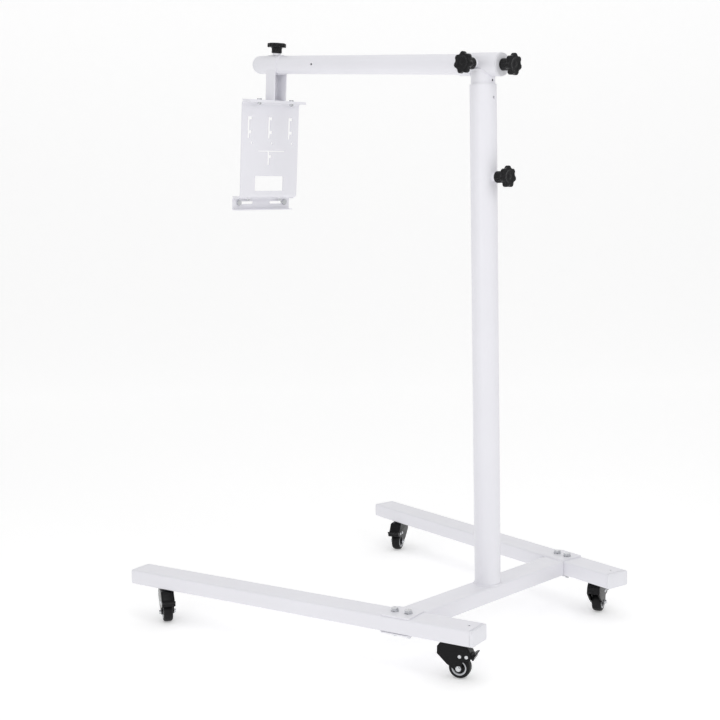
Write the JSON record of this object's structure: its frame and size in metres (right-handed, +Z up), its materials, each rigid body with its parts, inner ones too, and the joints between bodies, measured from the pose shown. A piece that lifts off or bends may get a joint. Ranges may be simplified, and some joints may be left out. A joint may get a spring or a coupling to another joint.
{
  "type": "rolling boom stand",
  "caption": "Wheeled floor stand with splayed legs, a telescoping column, a clamped boom and a hanging slotted plate that carries salon equipment.",
  "frame": {"origin": "on the floor, under the middle of the overall box", "axes": "+Z up, -Y towards the front, where the legs and boom reach; +X to the left of a person facing the front"},
  "size_m": [0.996, 1.0036, 1.4866],
  "materials": {
    "powder_white": "satin powder coat",
    "cap_white": "fine matt moulded",
    "zinc": "bright zinc plate",
    "nylon": "natural nylon",
    "knob_black": "gloss moulded",
    "fork_black": "black electrophoretic coat",
    "tyre_black": "smooth rubber",
    "core_grey": "moulded grey"
  },
  "bodies": {
    "base": {"crossbar": "powder_white", "leg_left": "powder_white", "leg_right": "powder_white", "leg_caps": "cap_white", "leg_bracket_left": "powder_white", "leg_bracket_right": "powder_white", "leg_bolts": "zinc", "leg_washers": "zinc", "leg_nuts": "zinc", "column_tube": "powder_white", "column_boss": "powder_white", "caster_stems": "zinc"},
    "mast_guide": {"column_bush": "nylon"},
    "mast": {"mast_tube": "powder_white", "boom_sleeve": "powder_white", "sleeve_boss": "powder_white"},
    "boom_guide": {"boom_bushes": "nylon"},
    "boom": {"boom_tube": "powder_white", "boom_cap": "cap_white", "boom_plug": "zinc"},
    "hanger": {"collar": "powder_white", "hanger_channel": "powder_white", "foot_plate": "powder_white", "mounting_plate": "powder_white", "lower_bracket": "powder_white", "flange_screws": "zinc", "hanger_nuts": "zinc", "bracket_bolts": "zinc"},
    "column_clamp": {"column_pad": "nylon"},
    "column_screw": {"column_knob": "knob_black", "column_stud": "zinc"},
    "sleeve_clamp": {"sleeve_pad": "nylon"},
    "sleeve_screw": {"sleeve_knob": "knob_black", "sleeve_stud": "zinc"},
    "hanger_clamp": {"hanger_pad": "nylon"},
    "hanger_screw": {"hanger_knob": "knob_black", "hanger_stud": "zinc"},
    "end_stop": {"end_washer": "cap_white"},
    "end_screw": {"end_knob": "knob_black", "end_stud": "zinc"},
    "caster_front_left": {"fork_front_left": "fork_black", "caster_pins_front_left": "zinc"},
    "wheel_front_left": {"tyre_front_left": "tyre_black", "wheel_core_front_left": "core_grey"},
    "brake_front_left": {"pedal_front_left": "fork_black"},
    "caster_rear_left": {"fork_rear_left": "fork_black", "caster_pins_rear_left": "zinc"},
    "wheel_rear_left": {"tyre_rear_left": "tyre_black", "wheel_core_rear_left": "core_grey"},
    "brake_rear_left": {"pedal_rear_left": "fork_black"},
    "caster_front_right": {"fork_front_right": "fork_black", "caster_pins_front_right": "zinc"},
    "wheel_front_right": {"tyre_front_right": "tyre_black", "wheel_core_front_right": "core_grey"},
    "brake_front_right": {"pedal_front_right": "fork_black"},
    "caster_rear_right": {"fork_rear_right": "fork_black", "caster_pins_rear_right": "zinc"},
    "wheel_rear_right": {"tyre_rear_right": "tyre_black", "wheel_core_rear_right": "core_grey"},
    "brake_rear_right": {"pedal_rear_right": "fork_black"}
  },
  "joints": [
    {"name": "mast_turn", "type": "hinge", "parent": "base", "child": "mast_guide", "pos_m": [0, 0.29897, 0.125], "axis": [0, 0, 1], "continuous": true},
    {"name": "mast_height", "type": "slide", "parent": "mast_guide", "child": "mast", "axis": [0, 0, 1], "range_m": [0, 0.4]},
    {"name": "boom_turn", "type": "hinge", "parent": "mast", "child": "boom_guide", "pos_m": [0, 0.29897, 1.365], "axis": [0, 0.9962, -0.0872], "continuous": true},
    {"name": "boom_reach", "type": "slide", "parent": "boom_guide", "child": "boom", "axis": [0, 0.9962, -0.0872], "range_m": [0, 0.22]},
    {"name": "hanger_place", "type": "slide", "parent": "boom", "child": "hanger", "axis": [0, 0.9962, -0.0872], "range_m": [0, 0.32]},
    {"name": "column_clamp_travel", "type": "slide", "parent": "base", "child": "column_clamp", "axis": [0, 1, 0], "range_m": [0, 0.00301]},
    {"name": "column_screw_turn", "type": "hinge", "parent": "column_clamp", "child": "column_screw", "pos_m": [0, 0.32747, 1.105], "axis": [0, 1, 0], "range_deg": [0, 720]},
    {"name": "sleeve_clamp_travel", "type": "slide", "parent": "mast", "child": "sleeve_clamp", "axis": [1, 0, 0], "range_m": [0, 0.00301]},
    {"name": "sleeve_screw_turn", "type": "hinge", "parent": "sleeve_clamp", "child": "sleeve_screw", "pos_m": [0.024, 0.29498, 1.36535], "axis": [1, 0, 0], "range_deg": [0, 720]},
    {"name": "hanger_clamp_travel", "type": "slide", "parent": "hanger", "child": "hanger_clamp", "axis": [0, 0.0872, 0.9962], "range_m": [0, 0.00301]},
    {"name": "hanger_screw_turn", "type": "hinge", "parent": "hanger_clamp", "child": "hanger_screw", "pos_m": [0, -0.41122, 1.45122], "axis": [0, 0.0872, 0.9962], "range_deg": [0, 720]},
    {"name": "end_stop_travel", "type": "slide", "parent": "boom", "child": "end_stop", "axis": [0, 0.9962, -0.0872], "range_m": [0, 0.00451]},
    {"name": "end_screw_turn", "type": "hinge", "parent": "end_stop", "child": "end_screw", "pos_m": [0, 0.35475, 1.36012], "axis": [0, 0.9962, -0.0872], "range_deg": [0, 1080]},
    {"name": "swivel_front_left", "type": "hinge", "parent": "base", "child": "caster_front_left", "pos_m": [0.44843, -0.4029, 0.087], "axis": [0, 0, 1], "continuous": true},
    {"name": "roll_front_left", "type": "hinge", "parent": "caster_front_left", "child": "wheel_front_left", "pos_m": [0.46143, -0.38038, 0.025], "axis": [-0.866, 0.5, 0], "continuous": true},
    {"name": "brake_front_left", "type": "hinge", "parent": "caster_front_left", "child": "brake_front_left", "pos_m": [0.47073, -0.36427, 0.053], "axis": [-0.866, 0.5, 0], "range_deg": [0, 10]},
    {"name": "swivel_rear_left", "type": "hinge", "parent": "base", "child": "caster_rear_left", "pos_m": [0.28872, 0.41873, 0.087], "axis": [0, 0, 1], "continuous": true},
    {"name": "roll_rear_left", "type": "hinge", "parent": "caster_rear_left", "child": "wheel_rear_left", "pos_m": [0.27815, 0.44248, 0.025], "axis": [-0.9135, -0.4067, 0], "continuous": true},
    {"name": "brake_rear_left", "type": "hinge", "parent": "caster_rear_left", "child": "brake_rear_left", "pos_m": [0.27058, 0.45947, 0.053], "axis": [-0.9135, -0.4067, 0], "range_deg": [0, 10]},
    {"name": "swivel_front_right", "type": "hinge", "parent": "base", "child": "caster_front_right", "pos_m": [-0.44843, -0.4029, 0.087], "axis": [0, 0, 1], "continuous": true},
    {"name": "roll_front_right", "type": "hinge", "parent": "caster_front_right", "child": "wheel_front_right", "pos_m": [-0.42432, -0.39315, 0.025], "axis": [-0.3746, 0.9272, 0], "continuous": true},
    {"name": "brake_front_right", "type": "hinge", "parent": "caster_front_right", "child": "brake_front_right", "pos_m": [-0.40708, -0.38619, 0.053], "axis": [-0.3746, 0.9272, 0], "range_deg": [0, 10]},
    {"name": "swivel_rear_right", "type": "hinge", "parent": "base", "child": "caster_rear_right", "pos_m": [-0.28872, 0.41873, 0.087], "axis": [0, 0, 1], "continuous": true},
    {"name": "roll_rear_right", "type": "hinge", "parent": "caster_rear_right", "child": "wheel_rear_right", "pos_m": [-0.31345, 0.41069, 0.025], "axis": [0.309, -0.9511, 0], "continuous": true},
    {"name": "brake_rear_right", "type": "hinge", "parent": "caster_rear_right", "child": "brake_rear_right", "pos_m": [-0.33114, 0.40494, 0.053], "axis": [0.309, -0.9511, 0], "range_deg": [0, 10]}
  ],
  "couplings": [
    {"joint": "column_clamp_travel", "follows": "column_screw_turn", "m_per_rad": 0.00023873},
    {"joint": "sleeve_clamp_travel", "follows": "sleeve_screw_turn", "m_per_rad": 0.00023873},
    {"joint": "hanger_clamp_travel", "follows": "hanger_screw_turn", "m_per_rad": 0.00023873},
    {"joint": "end_stop_travel", "follows": "end_screw_turn", "m_per_rad": 0.00023873}
  ]
}
